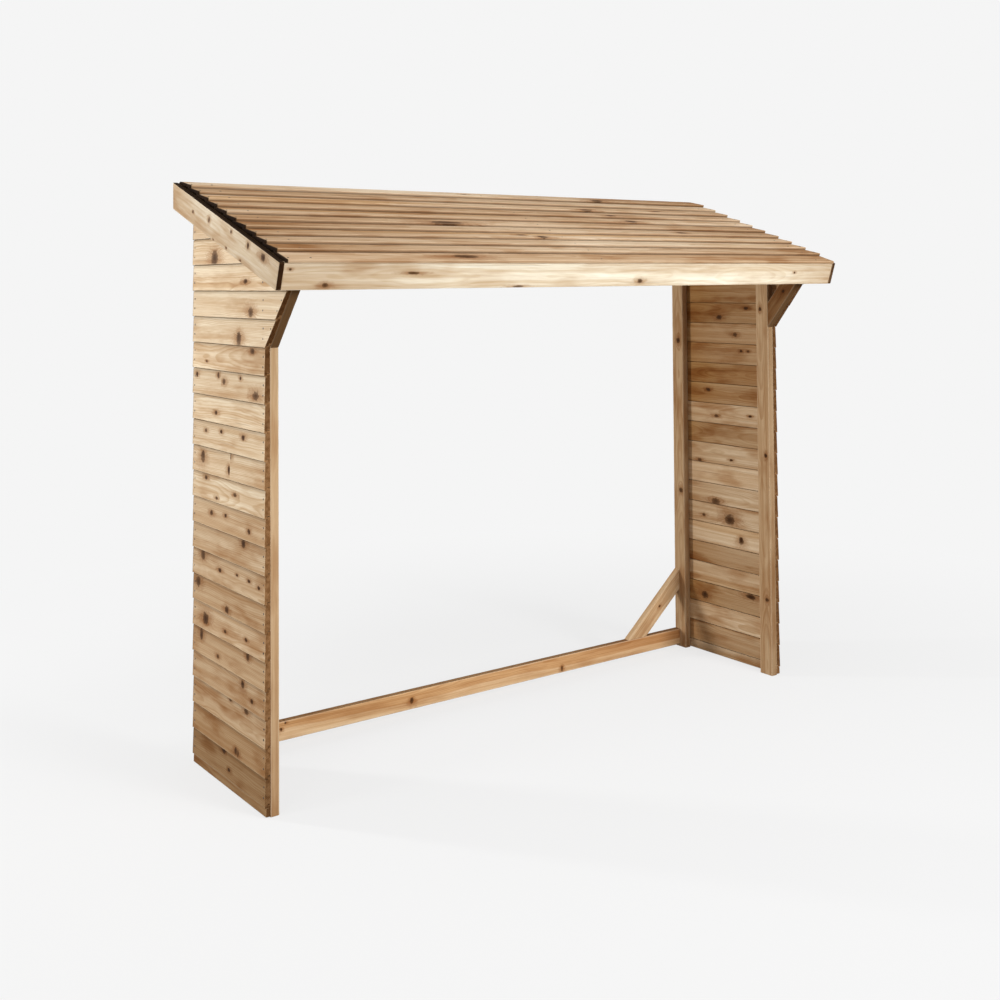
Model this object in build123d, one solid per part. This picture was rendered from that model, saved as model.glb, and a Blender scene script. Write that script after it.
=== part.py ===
from build123d import *
import math
import os

# A lean-to log store in planed softwood, drawn in millimetres.
# X runs along the eaves, -Y is the open front, +Y the side that stands against a house wall, +Z is up.
# The origin is on the ground, under the centre of the outline.

# Side panels
bay_width = 2024  # clear width between the left and right posts
panel_depth = 555  # front face of a front post to back face of a rear post
post_width = 28  # along X
post_depth = 64  # along Y
arris = 3  # eased long edges of the frame timber

# Wall boards, rebated and lapped, nailed outside the posts
wall_board_cover = 82  # height that each board shows
wall_board_butt = 16  # thickness at the lower edge
wall_board_shoulder = 13  # thickness where the face ends, below the tongue
wall_board_tongue = 8  # thickness of the tongue behind the board above
wall_board_lap = 6  # height of the tongue behind the board above
wall_board_groove = 2  # shadow line outside, between a shoulder and the board above
wall_board_chamfer = 2  # both edges of that line
wall_board_open = 3  # open joint inside, between a tongue and the board above
foot_strip = 27  # what shows of the narrow strip under the first board
wall_lift = 3  # gap between the boards and the ground
fitting_gap = 0.3  # clearance between a tongue and the rebate over it

# Roof
eaves_height = 1584  # top edge of the fascia above the ground
roof_slope = 18.6  # degrees
front_overhang = 249  # fascia face in front of the front posts
side_overhang = 67  # outside of the barge boards beyond the wall boards
trim_thickness = 16  # barge boards and fascia
trim_height = 81  # square to the slope
trim_arris = 1.5  # eased edges of the barge boards and the fascia
roof_back_gap = 6  # barge boards stop this far short of the rear posts' backs
roof_board_gap = 15  # the last roof board stops this far short of the rear posts' backs
roof_board_width = 88
roof_board_most_cover = 76  # most of its width that a roof board may show
roof_board_butt = 10  # thickness at the lower edge
roof_board_tip = 7  # thickness at the upper edge
eaves_drip = 6  # first roof board beyond the fascia
rafter_depth = 64
rafter_width = 28
wall_top_gap = 2  # wall boards stop this far below the roof boards

# Rails and braces
rail_height = 64
rail_thickness = 28
rail_lift = 9  # bottom rail above the ground
brace_width = 64
brace_thickness = 28
brace_angle = 41.5  # corner brace from the level, eaves braces from the plumb line
corner_brace_run = 280  # along the rail, from the post to the far end of the foot
eaves_brace_drop = 244  # from the level of the eaves down to the toe of an eaves brace

slope = math.radians(roof_slope)
lean = math.radians(brace_angle)

# Places across the width
post_inner = bay_width / 2
post_outer = post_inner + post_width
wall_outer = post_outer + wall_board_butt
roof_half = wall_outer + side_overhang
roof_board_half = roof_half - trim_thickness

# Places through the depth: the outline runs from the eaves drip to the backs of the rear posts
eaves_reach = front_overhang + eaves_drip * math.cos(slope) + roof_board_butt * math.sin(slope)
panel_front = eaves_reach - (panel_depth + eaves_reach) / 2
panel_back = panel_front + panel_depth
fascia_y = panel_front - front_overhang
roof_back = panel_back - roof_back_gap

# The roof boards share the slope evenly
boards_top = (panel_back - roof_board_gap - fascia_y) / math.cos(slope)
roof_board_laps = math.ceil((boards_top + eaves_drip - roof_board_width) / roof_board_most_cover)
roof_board_cover = (boards_top + eaves_drip - roof_board_width) / roof_board_laps

brace_toe = (panel_front, eaves_height - eaves_brace_drop)


def on_roof(along, above):
    """Y and Z of a point this far up the slope from the fascia's face, and this far square above the
    rafters' top edges."""
    y = fascia_y + along * math.cos(slope) - above * math.sin(slope)
    z = eaves_height + along * math.sin(slope) + above * math.cos(slope)
    return (y, z)


def roof_z(y, above):
    """Height, at depth y, of a line parallel to the roof and square above the rafters' tops by above."""
    return eaves_height + (y - fascia_y) * math.tan(slope) + above / math.cos(slope)


def crossing(start, direction, base, run):
    """Where the line from start along direction meets the line from base along run, in Y and Z."""
    det = direction[0] * run[1] - direction[1] * run[0]
    gap = (base[0] - start[0], base[1] - start[1])
    far = (gap[0] * run[1] - gap[1] * run[0]) / det
    return (start[0] + direction[0] * far, start[1] + direction[1] * far)


def side_plate(points, x_from, x_to):
    """A flat piece with this outline in Y and Z, between two places across the width."""
    face = make_face(Polyline(*points, close=True))
    return extrude(Plane.YZ.offset(x_from) * face, amount=x_to - x_from)


def front_plate(points, y_from, y_to):
    """A flat piece with this outline in X and Z, between two depths."""
    face = make_face(Polyline(*points, close=True))
    return extrude(Plane.XZ.offset(-y_from) * face, amount=y_from - y_to)


def ease(timber, direction, radius):
    """Round the long edges that run along direction."""
    edges = timber.edges().filter_by(Axis((0, 0, 0), direction))
    return fillet(edges, radius)


def put(name, piece):
    piece.label = name
    export_step(piece, f"parts/{name}.step")


def mirrored(piece):
    """The same piece on the other side."""
    return mirror(piece, about=Plane.YZ)


def put_pair(name, right_piece):
    """The right-hand piece and its mirror image on the left."""
    put(f"right_{name}", right_piece)
    put(f"left_{name}", mirrored(right_piece))


up_slope = (math.cos(slope), math.sin(slope))
down_square = (math.sin(slope), -math.cos(slope))
brace_climb = (-math.sin(lean), math.cos(lean))


def front_post():
    """Planed post, its top cut to the slope where the rafter rests on it."""
    front, back = panel_front, panel_front + post_depth
    points = [
        (front, 0),
        (back, 0),
        (back, roof_z(back, -rafter_depth)),
        (front, roof_z(front, -rafter_depth)),
    ]
    return ease(side_plate(points, post_inner, post_outer), (0, 0, 1), arris)


def rear_post():
    """The same post at the back."""
    front, back = panel_back - post_depth, panel_back
    points = [
        (front, 0),
        (back, 0),
        (back, roof_z(back, -rafter_depth)),
        (front, roof_z(front, -rafter_depth)),
    ]
    return ease(side_plate(points, post_inner, post_outer), (0, 0, 1), arris)


def rafter(x_from, x_to, y_back):
    """Sloped timber from the back of the fascia to a plumb cut at the rear."""
    points = [
        on_roof(trim_thickness, 0),
        on_roof(trim_thickness, -rafter_depth),
        (y_back, roof_z(y_back, -rafter_depth)),
        (y_back, roof_z(y_back, 0)),
    ]
    return ease(side_plate(points, x_from, x_to), (0, *up_slope), arris)


def eaves_brace():
    """Strut from the face of the front post up to the underside of the rafter."""
    crotch = (panel_front, brace_toe[1] + brace_width / math.sin(lean))
    under_rafter = on_roof(0, -rafter_depth)
    points = [
        brace_toe,
        crossing(brace_toe, brace_climb, under_rafter, up_slope),
        crossing(crotch, brace_climb, under_rafter, up_slope),
        crotch,
    ]
    plate = side_plate(points, post_inner, post_inner + brace_thickness)
    return ease(plate, (0, *brace_climb), arris)


def corner_brace():
    """The one strut from the top of the bottom rail to a plumb cut against the right rear post."""
    top = rail_lift + rail_height
    foot = brace_width / math.sin(lean)
    inner_run = corner_brace_run - foot
    points = [
        (post_inner - corner_brace_run, top),
        (post_inner - inner_run, top),
        (post_inner, top + inner_run * math.tan(lean)),
        (post_inner, top + corner_brace_run * math.tan(lean)),
    ]
    plate = front_plate(points, panel_back - brace_thickness, panel_back)
    return ease(plate, (math.cos(lean), 0, math.sin(lean)), arris)


def bottom_rail():
    """Rail between the rear posts, flush with their backs."""
    low, high = rail_lift, rail_lift + rail_height
    points = [(-post_inner, low), (post_inner, low), (post_inner, high), (-post_inner, high)]
    return ease(front_plate(points, panel_back - rail_thickness, panel_back), (1, 0, 0), arris)


def top_rail():
    """Rail between the rafters at the back, its top edge planed to the slope."""
    front = panel_back - rail_thickness
    low = roof_z(front, 0) - rail_height
    points = [
        (front, low),
        (panel_back, low),
        (panel_back, roof_z(panel_back, 0)),
        (front, roof_z(front, 0)),
    ]
    return ease(side_plate(points, -post_inner, post_inner), (1, 0, 0), arris)


def barge_board():
    """Board over the roof's end: square at the eaves, plumb at the back."""
    points = [
        on_roof(0, 0),
        on_roof(0, -trim_height),
        (roof_back, roof_z(roof_back, -trim_height)),
        (roof_back, roof_z(roof_back, 0)),
    ]
    plate = side_plate(points, roof_board_half, roof_half)
    return ease(plate, (0, *up_slope), trim_arris)


def fascia():
    """Board along the eaves, between the barge boards and square to the slope."""
    points = [
        on_roof(0, 0),
        on_roof(trim_thickness, 0),
        on_roof(trim_thickness, -trim_height),
        on_roof(0, -trim_height),
    ]
    plate = side_plate(points, -roof_board_half, roof_board_half)
    return ease(plate, (1, 0, 0), trim_arris)


def roof_boards():
    """The lapped boards from the eaves up. The first lies flat on the rafters. Each one after it rests its
    upper edge on the rafters and its lower edge on the board below, which sets how far it tips up."""
    boards = []
    lift = 0
    clear_of_tip = roof_board_tip * roof_board_width / roof_board_cover
    for number in range(roof_board_laps + 1):
        low = number * roof_board_cover - eaves_drip
        high = low + roof_board_width
        points = [
            on_roof(low, lift),
            on_roof(high, 0),
            on_roof(high, roof_board_tip),
            on_roof(low, lift + roof_board_butt),
        ]
        board = side_plate(points, -roof_board_half, roof_board_half)
        boards.append(board)
        surface = lift + roof_board_butt
        fall = (surface - roof_board_tip) / roof_board_width
        lift = max(surface - fall * roof_board_cover, clear_of_tip)
    return boards


def wall_outline():
    """The end wall seen from the side: plumb front edge, then out along the eaves brace to just under the
    roof boards, or to the back of the fascia where that comes first."""
    corner = on_roof(trim_thickness, -wall_top_gap)
    nose = [crossing(brace_toe, brace_climb, corner, up_slope)]
    if nose[0][0] < corner[0]:
        nose = [corner, crossing(brace_toe, brace_climb, corner, down_square)]
    return [
        (panel_front, wall_lift),
        (panel_back, wall_lift),
        (panel_back, roof_z(panel_back, -wall_top_gap)),
        *nose,
        brace_toe,
    ]


def board_head(lap_line):
    """Outline of a wall board's upper edge, from its face to its flat back: the shoulder just under the next
    board, and the tongue behind it."""
    shoulder = lap_line - wall_board_groove
    high = lap_line + wall_board_lap
    return [
        (post_outer + wall_board_shoulder, shoulder - wall_board_chamfer),
        (post_outer + wall_board_shoulder - wall_board_chamfer, shoulder),
        (post_outer + wall_board_tongue, shoulder),
        (post_outer + wall_board_tongue, high),
        (post_outer, high),
    ]


def wall_boards():
    """Rebated boards with flat backs, thick at the lower edge, each lapped over the one below."""
    taper = (wall_board_butt - wall_board_shoulder) / (wall_board_cover - wall_board_groove)
    foot_face = wall_board_shoulder + taper * (foot_strip - wall_board_groove)
    rebate = wall_board_tongue + fitting_gap
    joint = wall_board_lap + wall_board_open
    outline = wall_outline()
    wall = side_plate(outline, post_outer, wall_outer)
    depth_from = min(point[0] for point in outline)
    top = max(point[1] for point in outline)
    low = wall_lift + foot_strip
    foot = [(post_outer, wall_lift), (post_outer + foot_face, wall_lift), *board_head(low)]
    pieces = [wall & front_plate(foot, depth_from, panel_back)]
    while low + joint < top:
        lip = [
            (post_outer, low + joint),
            (post_outer + rebate, low + joint),
            (post_outer + rebate, low),
            (wall_outer - wall_board_chamfer, low),
            (wall_outer, low + wall_board_chamfer),
        ]
        profile = [*lip, *board_head(low + wall_board_cover)]
        pieces.append(wall & front_plate(profile, depth_from, panel_back))
        low += wall_board_cover
    return Compound(children=[solid for piece in pieces for solid in piece.solids()])


os.makedirs("parts", exist_ok=True)

put_pair("front_post", front_post())
put_pair("rear_post", rear_post())
put_pair("rafter", rafter(post_inner, post_outer, panel_back))
put_pair("eaves_brace", eaves_brace())
put("right_corner_brace", corner_brace())
put("rear_bottom_rail", bottom_rail())
put("rear_top_rail", top_rail())
put_pair("wall_boards", wall_boards())
put_pair("barge_board", barge_board())
put("front_fascia", fascia())
put_pair("roof_bearer", rafter(roof_board_half - rafter_width, roof_board_half, roof_back))
put("middle_rafter", rafter(-rafter_width / 2, rafter_width / 2, panel_back - rail_thickness))
for number, board in enumerate(roof_boards(), 1):
    put(f"roof_board_{number:02d}", board)
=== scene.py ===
import math

import bpy
import numpy as np
from mathutils import Matrix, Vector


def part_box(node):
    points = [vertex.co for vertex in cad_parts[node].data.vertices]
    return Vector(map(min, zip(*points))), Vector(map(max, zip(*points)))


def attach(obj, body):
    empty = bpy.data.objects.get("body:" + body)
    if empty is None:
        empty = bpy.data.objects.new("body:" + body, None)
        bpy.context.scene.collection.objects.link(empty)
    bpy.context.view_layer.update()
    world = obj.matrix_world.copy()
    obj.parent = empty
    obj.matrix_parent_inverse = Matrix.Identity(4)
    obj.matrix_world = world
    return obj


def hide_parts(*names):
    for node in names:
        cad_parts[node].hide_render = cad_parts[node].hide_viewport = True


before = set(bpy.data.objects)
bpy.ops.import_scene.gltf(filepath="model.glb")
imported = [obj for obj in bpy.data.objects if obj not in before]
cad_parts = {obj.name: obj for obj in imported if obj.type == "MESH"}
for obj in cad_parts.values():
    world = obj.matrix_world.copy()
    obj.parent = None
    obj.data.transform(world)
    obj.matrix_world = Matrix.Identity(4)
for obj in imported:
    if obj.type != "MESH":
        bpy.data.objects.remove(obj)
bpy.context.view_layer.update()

# Posts. Four planed softwood uprights, two to a side, that stand on the ground and are cut to the slope of
# the roof at their heads. Their long edges are eased with a plane, and their cut ends drink up the stain.
roof_slope = math.radians(18.6)
timber_arris = 0.003
timber_strips = (3, 6, 3, 6)
rafter_depth = 0.064
pith_depths = (0.03, 0.09)
sides = ((1, "right"), (-1, "left"))
post_front, post_front_top = (np.array(corner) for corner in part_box("right_front_post"))
post_rear, post_rear_top = (np.array(corner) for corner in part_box("right_rear_post"))
barge_low, barge_high = (np.array(corner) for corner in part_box("right_barge_board"))
fascia_y = barge_low[1]
eaves_height = barge_high[2] - (barge_high[1] - fascia_y) * math.tan(roof_slope)
up_slope = np.array([0, math.cos(roof_slope), math.sin(roof_slope)])
below_roof = np.array([0, math.sin(roof_slope), -math.cos(roof_slope)])
eaves = np.array([0, fascia_y, eaves_height])
right, back, up = np.eye(3)


def unit(vectors):
    """Each of these vectors at a length of 1."""
    return vectors / np.linalg.norm(vectors, axis=1)[:, None]


def rectangle(low, high):
    """The corners of a section between these two, anticlockwise."""
    return [(low[0], low[1]), (high[0], low[1]), (high[0], high[1]), (low[0], high[1])]


def section(corners, radius, parts):
    """The outline of a stick's cross section as a closed loop. A third column is 1 on its eased edges, and a
    fourth, left at 0, says where grime and painted shade lie. Each corner is an arc of this radius between
    its two tangent points, and each side between two arcs is cut a little way in from both its ends, and
    evenly between."""
    corners = np.array(corners, float)
    before = corners - np.roll(corners, 1, 0)
    after = np.roll(corners, -1, 0) - corners
    before_unit, after_unit = unit(before), unit(after)
    turn = np.arccos(np.clip((before_unit * after_unit).sum(1), -1, 1))
    reach = radius * np.tan(turn / 2)
    hand = np.sign(before_unit[:, 0] * after_unit[:, 1] - before_unit[:, 1] * after_unit[:, 0])
    inward = np.stack([-before_unit[:, 1], before_unit[:, 0]], 1) * hand[:, None]
    loop = []
    arc_steps = 3
    margin_length, margin_share = 0.0025, 0.2
    for number, corner in enumerate(corners):
        entry = corner - before_unit[number] * reach[number]
        middle = entry + inward[number] * radius
        angle = np.linspace(0, turn[number], arc_steps + 1)[:, None]
        arc = middle - inward[number] * radius * np.cos(angle) + before_unit[number] * radius * np.sin(angle)
        loop.append(np.column_stack([arc, np.ones(len(arc)), np.zeros(len(arc))]))
        leave = arc[-1]
        span = np.linalg.norm(after[number]) - reach[number] - reach[(number + 1) % len(corners)]
        margin = min(margin_length, span * margin_share)
        stops = np.concatenate([[margin], np.linspace(margin, span - margin, parts[number] + 1)[1:]])
        side = leave + after_unit[number] * stops[:, None]
        loop.append(np.column_stack([side, np.zeros((len(side), 2))]))
    return np.concatenate(loop)


def flat_cut(place, point, normal):
    """How far along a stick its cut end lies, for places in its section. The cut is the plane through a
    point, so along = ((point - origin) - across part - deep part) . normal / (direction . normal)."""
    origin, along, across, deep = place

    def reach(spots):
        aside = spots[:, :1] * across + spots[:, 1:2] * deep
        return ((point - origin - aside) @ normal) / (along @ normal)

    return reach


def tube_faces(count, width):
    """The faces of a closed tube of this many rings, with this many points each: quads between the rings,
    then triangles to one point before the first ring and to one after the last."""
    here = np.arange(count * width).reshape(count, width)
    after = np.roll(here, -1, 1)
    quads = np.stack([here[:-1], after[:-1], after[1:], here[1:]], -1).reshape(-1, 4)
    low_tip, high_tip = np.full(width, count * width), np.full(width, count * width + 1)
    low_fan = np.stack([after[0], here[0], low_tip], 1)
    high_fan = np.stack([here[-1], after[-1], high_tip], 1)
    return quads, np.concatenate([low_fan, high_fan])


def timber(loop, place, start, end, draw, tone=(0, 0), knots=(), pith=None, pace=0.014, darkened_start=0.0,
           end_stain=None):
    """One stick of wood. Its section's loop is carried along its axis from the start cut to the end cut:
    place = origin + along * axis + across * second axis + deep * third axis. Each end has a fine chamfer
    and closes in rings that shrink to its middle. The stick keeps where it lay in its tree, as a distance
    along the trunk and a place beside the pith, and where each face lies from its nearest branch. A knot is
    its place along, across and deep, its radius, and how far it is drawn out along the grain. The tone is
    the stick's level, then its depth of stain, once or at even steps from start to end; on some sticks it
    also carries painted shade. Darkened start is how much of the start is painted as dark as grime, and end
    stain
    is how dark its cut ends are: stain drunk up, and on some sticks painted shade as well."""
    origin, along, across, deep = place
    outline, eased, grime_and_shade = loop[:, :2], loop[:, 2], loop[:, 3]
    heart = outline.mean(0)
    tangent = np.roll(outline, -1, 0) - np.roll(outline, 1, 0)
    outward = unit(np.stack([tangent[:, 1], -tangent[:, 0]], 1))
    length = np.max(end(outline) - start(outline))
    chamfer = 0.0008
    deepest_rub = 0.0004
    dark_start_fade = 0.002
    fewest_rows = 6
    rows = max(int(length / pace), fewest_rows)
    near = np.array([chamfer, darkened_start, darkened_start + dark_start_fade] if darkened_start else [chamfer]) / length
    shares = np.concatenate([[0], near, np.linspace(0, 1, rows + 1)[1:-1], [1 - chamfer / length, 1]])
    darkened_rows = shares * length < darkened_start + dark_start_fade / 2 if darkened_start else shares < 0
    tucked = np.zeros(len(shares))
    tucked[[0, -1]] = chamfer
    rubbed = draw.random((len(shares), len(outline))) * eased * deepest_rub
    spots = outline - outward * (tucked[:, None] + rubbed)[:, :, None]
    first, last = start(outline), end(outline)
    runs = first + (last - first) * shares[:, None]
    cap_shares = np.array([0.25, 0.55, 0.85])[:, None, None]
    low_cap = heart + (spots[0] - heart) * cap_shares
    high_cap = heart + (spots[-1] - heart) * cap_shares[::-1]
    low_runs = np.stack([start(ring) for ring in low_cap])
    high_runs = np.stack([end(ring) for ring in high_cap])
    spots = np.concatenate([low_cap, spots, high_cap])
    runs = np.concatenate([low_runs, runs, high_runs])
    middle = heart[None]
    local = np.column_stack([runs.ravel(), spots.reshape(-1, 2)])
    tips = np.array([[start(middle)[0], *heart], [end(middle)[0], *heart]])
    local = np.concatenate([local, tips])
    count, width = runs.shape
    quads, fans = tube_faces(count, width)
    cap_rows = len(cap_shares)
    on_end = np.zeros((count - 1, width))
    on_end[:cap_rows] = 1
    on_end[-cap_rows:] = 1
    corners = np.concatenate([quads.ravel(), fans.ravel()])
    sizes = np.concatenate([np.full(len(quads), 4), np.full(len(fans), 3)])
    end_grain = np.concatenate([np.repeat(on_end.ravel(), 4), np.ones(fans.size)])
    pith_aside, pith_lean, trunk_length = 0.03, 0.012, 60
    if pith is None:
        pith = (heart[0] + draw.uniform(-pith_aside, pith_aside), heart[1] - draw.uniform(*pith_depths))
    drift = draw.uniform(-pith_lean, pith_lean, 2)
    centre = np.array(pith) + drift * local[:, :1]
    trunk_place = np.column_stack([local[:, 0] + draw.uniform(0, trunk_length), local[:, 1:] - centre])
    face_along = np.concatenate([local[quads, 0].mean(1), local[fans, 0].mean(1)])
    branch = np.tile([1.0, 1.0, 0.0], (len(corners), 1))
    if len(knots):
        known = np.array(knots, float)
        root = np.array(pith) + drift * known[:, :1]
        spoke = known[:, 1:3] - root
        spoke_length = np.linalg.norm(spoke, axis=1)
        spoke = spoke / spoke_length[:, None]
        nearest = np.abs(face_along[:, None] - known[None, :, 0]).argmin(1)
        nearest = np.repeat(nearest, sizes)
        from_root = local[corners, 1:] - root[nearest]
        outwards = (from_root * spoke[nearest]).sum(1)
        beside = from_root[:, 1] * spoke[nearest, 0] - from_root[:, 0] * spoke[nearest, 1]
        least_swell, most_swell = 0.3, 1.6
        swell = np.clip(outwards / spoke_length[nearest], least_swell, most_swell)
        along_grain = (local[corners, 0] - known[nearest, 0]) / known[nearest, 4]
        branch = np.column_stack([along_grain, beside, known[nearest, 3] * swell])
    bent = local.copy()
    slow_bend, quick_bend, deepest_bend = 1.2, 2.6, 0.0006
    bend_angle = local[:, 0] * draw.uniform(slow_bend, quick_bend) + draw.uniform(0, 6)
    bent[:, 2] += np.sin(bend_angle) * draw.uniform(0, deepest_bend)
    worn_and_highlit = np.concatenate([np.tile(eased, count), np.zeros(2)])
    steps = np.linspace(local[:, 0].min(), local[:, 0].max(), len(tone) - 1)
    stain = np.interp(local[:, 0], steps, tone[1:])
    if end_stain is not None:
        stain[:cap_rows * width] = end_stain
        stain[-cap_rows * width - 2:] = end_stain
    darkened_rows = np.pad(darkened_rows, cap_rows)[:, None]
    look = np.column_stack([np.full(len(local), tone[0]), stain, worn_and_highlit])
    return {
        "grime_and_shade": np.concatenate([np.maximum(grime_and_shade, darkened_rows).ravel(), np.zeros(2)]),
        "places": origin + bent @ np.stack([along, across, deep]),
        "corners": corners,
        "sizes": sizes,
        "trunk": trunk_place,
        "look": look,
        "branch": branch,
        "end_grain": end_grain,
    }


def volume_of(places, corners, sizes):
    """Six times the volume inside the faces, by the sum of a . (b x c) over a fan of each face."""
    starts = np.cumsum(sizes) - sizes
    total = 0.0
    for turn in (1, 2):
        whole = sizes > turn + 1
        a, b, c = (places[corners[starts[whole] + k]] for k in (0, turn, turn + 1))
        total += (a * np.cross(b, c)).sum()
    return total


def new_object(name, data):
    """A new object in the scene that holds this mesh, lamp or camera."""
    thing = bpy.data.objects.new(name, data)
    bpy.context.scene.collection.objects.link(thing)
    return thing


def make_piece(name, sticks, material, nodes, side=1):
    """Joins sticks of wood into one mesh, mirrored across the width for side -1, gives it its material and
    has it stand for its CAD nodes."""
    def joined(label):
        return np.concatenate([stick[label] for stick in sticks])

    base = np.cumsum([0] + [len(stick["places"]) for stick in sticks])
    places = joined("places") * [side, 1, 1]
    corners = np.concatenate([stick["corners"] + base[k] for k, stick in enumerate(sticks)])
    sizes = joined("sizes")
    starts = np.cumsum(sizes) - sizes
    order = np.arange(len(corners))
    if volume_of(places, corners, sizes) < 0:
        face = np.repeat(np.arange(len(sizes)), sizes)
        order = 2 * starts[face] + sizes[face] - 1 - order
    mesh = bpy.data.meshes.new(name)
    mesh.vertices.add(len(places))
    mesh.vertices.foreach_set("co", places.astype(np.float32).ravel())
    mesh.loops.add(len(corners))
    mesh.loops.foreach_set("vertex_index", corners[order].astype(np.int32))
    mesh.polygons.add(len(sizes))
    mesh.polygons.foreach_set("loop_start", starts.astype(np.int32))
    mesh.update(calc_edges=True)
    for label in ("trunk", "look", "branch", "end_grain", "grime_and_shade"):
        values, domain = joined(label), "POINT"
        if label in ("branch", "end_grain"):
            values, domain = values[order], "CORNER"
        kind, field = ("FLOAT_VECTOR", "vector") if values.ndim == 2 else ("FLOAT", "value")
        attribute = mesh.attributes.new(label, kind, domain)
        attribute.data.foreach_set(field, values.astype(np.float32).ravel())
    sharp_from = math.radians(40)
    mesh.shade_smooth()
    mesh.set_sharp_from_angle(angle=sharp_from)
    mesh.materials.append(material)
    piece = new_object(name, mesh)
    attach(piece, "root")
    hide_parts(*nodes)


def paint(red, green, blue):
    """A colour as it is seen, from 0 to 255, in the linear light that shaders use."""
    seen = np.array([red, green, blue]) / 255
    linear = np.where(seen < 0.04045, seen / 12.92, ((seen + 0.055) / 1.055) ** 2.4)
    return (*linear, 1.0)


def add(tree, kind, inputs=(), **settings):
    """A new node. Each input is a value, or the socket that feeds it."""
    node = tree.nodes.new(kind)
    for label, value in settings.items():
        setattr(node, label, value)
    for label, value in dict(inputs).items():
        if isinstance(value, bpy.types.NodeSocket):
            tree.links.new(value, node.inputs[label])
        else:
            node.inputs[label].default_value = value
    return node


def math_of(tree, operation, *values):
    """The result of one Math node."""
    return add(tree, "ShaderNodeMath", enumerate(values), operation=operation).outputs[0]


def product(tree, value, part):
    """One value times another."""
    return math_of(tree, "MULTIPLY", value, part)


def rise(tree, value, low, high, bottom=0.0, top=1.0):
    """A smooth step from bottom to top as the value goes from low to high."""
    inputs = {"Value": value, "From Min": low, "From Max": high, "To Min": bottom, "To Max": top}
    return add(tree, "ShaderNodeMapRange", inputs, interpolation_type="SMOOTHSTEP").outputs[0]


def mix(tree, share, first, second, how="MIX"):
    """Two colours, mixed or laid over each other by share."""
    inputs = {0: share, 6: first, 7: second}
    return add(tree, "ShaderNodeMix", inputs, data_type="RGBA", blend_type=how).outputs[2]


def cloud(tree, place, scales, detail=2.0):
    """Noise whose clouds are drawn out by these scales along the trunk and across it."""
    drawn = add(tree, "ShaderNodeVectorMath", {0: place, 1: scales}, operation="MULTIPLY").outputs[0]
    return add(tree, "ShaderNodeTexNoise", {"Vector": drawn, "Scale": 1.0, "Detail": detail}).outputs[0]


def node_group(name, takes, gives):
    """An empty node group with these sockets, and the sockets inside it. It gives values, and a colour
    where the socket is called Color."""
    tree = bpy.data.node_groups.new(name, "ShaderNodeTree")
    for label, kind, value in takes:
        socket = tree.interface.new_socket(label, in_out="INPUT", socket_type="NodeSocket" + kind)
        if value is not None:
            socket.default_value = value
    for label in gives:
        kind = "Color" if label == "Color" else "Float"
        tree.interface.new_socket(label, in_out="OUTPUT", socket_type="NodeSocket" + kind)
    return tree, tree.nodes.new("NodeGroupInput").outputs, tree.nodes.new("NodeGroupOutput").inputs


def give(tree, result, values):
    """Joins each of these values to the node group's output of its name."""
    for label, value in values.items():
        tree.links.new(value, result[label])


# No branch is thinner than this, so that nothing is divided by 0 where there is none.
smallest_branch = 0.0001


def growth_rings():
    """Rings round the pith. The distance from the pith, with slow wobbles and a swelling round each branch,
    is divided by the ring width: each whole number starts a ring, pale at first and dark at its end."""
    takes = [("Trunk", "Vector", None), ("Branch", "Vector", None), ("Ring Width", "Float", 0.003),
             ("Heart Radius", "Float", 0.06)]
    tree, given, result = node_group("growth_rings", takes, ("Late", "Streak", "Fibre", "Heart", "Check"))
    trunk = given["Trunk"]
    axes = add(tree, "ShaderNodeSeparateXYZ", {0: trunk}).outputs
    away = add(tree, "ShaderNodeSeparateXYZ", {0: given["Branch"]}).outputs

    def squares(first, second):
        """The sum of two values' squares."""
        return math_of(tree, "ADD", product(tree, first, first), product(tree, second, second))

    slow_wobble, quick_wobble = 0.034, 0.006
    radius = math_of(tree, "SQRT", squares(axes[1], axes[2]))
    slow = math_of(tree, "MULTIPLY_ADD", cloud(tree, trunk, (1.7, 5, 5), 1.0), slow_wobble, radius)
    wobbly = math_of(tree, "MULTIPLY_ADD", cloud(tree, trunk, (9, 26, 26), 1.0), quick_wobble, slow)
    branch = math_of(tree, "MAXIMUM", away[2], smallest_branch)
    swell_along, swell_beside = 3.2, 1.5
    up_grain = math_of(tree, "DIVIDE", away[0], product(tree, branch, swell_along))
    beside = math_of(tree, "DIVIDE", away[1], product(tree, branch, swell_beside))
    swell = math_of(tree, "EXPONENT", product(tree, squares(up_grain, beside), -1.0))
    ring_place = math_of(tree, "SUBTRACT", wobbly, product(tree, swell, branch))
    phase = math_of(tree, "DIVIDE", ring_place, given["Ring Width"])
    year = math_of(tree, "FLOOR", phase)
    season = math_of(tree, "FRACT", phase)
    strength = add(tree, "ShaderNodeTexWhiteNoise", {"W": year}, noise_dimensions="1D").outputs[0]
    late = product(tree, rise(tree, season, 0.3, 0.86), rise(tree, season, 0.9, 1.0, 1.0, 0.0))
    late = product(tree, late, math_of(tree, "MULTIPLY_ADD", strength, 0.65, 0.35))
    heart_edge = math_of(tree, "SUBTRACT", ring_place, given["Heart Radius"])
    give(tree, result, {
        "Late": late,
        "Streak": cloud(tree, trunk, (1.3, 60, 60), 3.0),
        "Fibre": cloud(tree, trunk, (16, 620, 620), 2.0),
        "Heart": rise(tree, heart_edge, -0.003, 0.003, 1.0, 0.0),
        "Check": rise(tree, cloud(tree, trunk, (2.2, 190, 190), 1.0), 0.71, 0.76),
    })
    return tree


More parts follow.
